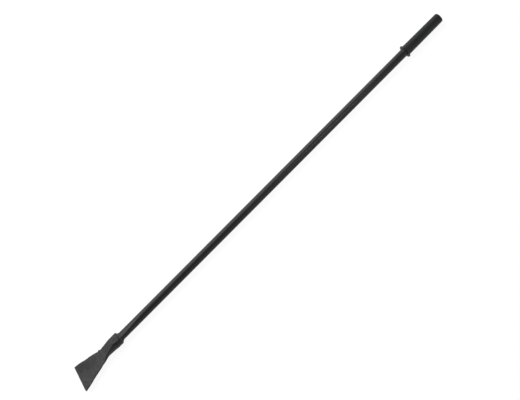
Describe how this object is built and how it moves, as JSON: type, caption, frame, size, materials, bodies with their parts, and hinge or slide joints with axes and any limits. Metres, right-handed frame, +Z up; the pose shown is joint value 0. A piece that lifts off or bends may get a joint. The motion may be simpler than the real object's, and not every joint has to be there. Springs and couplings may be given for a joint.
{
  "type": "ice chopper",
  "caption": "Long handled ice chopper: a forged fan-shaped blade with a round socket, welded to a steel tube shaft that ends in a flanged moulded grip.",
  "frame": {"origin": "middle of the bounding box's bottom face, on the surface that the tool lies on", "axes": "+X along the shaft from the cutting edge to the closed end of the grip, +Z up and square to the level blade, the blade's flat back facing down"},
  "size_m": [1.483, 0.0936, 0.0397],
  "materials": {
    "forged_steel_paint": "black powder coat over a forged surface, semi-matt",
    "weld_paint": "black powder coat over a weld bead, semi-matt",
    "tube_paint": "black powder coat over smooth tube, satin",
    "grip_pvc": "black moulded PVC, matt with a fine grain"
  },
  "bodies": {
    "root": {"blade_head": "forged_steel_paint", "socket_weld": "weld_paint", "shaft_tube": "tube_paint", "hand_grip": "grip_pvc"}
  },
  "joints": []
}
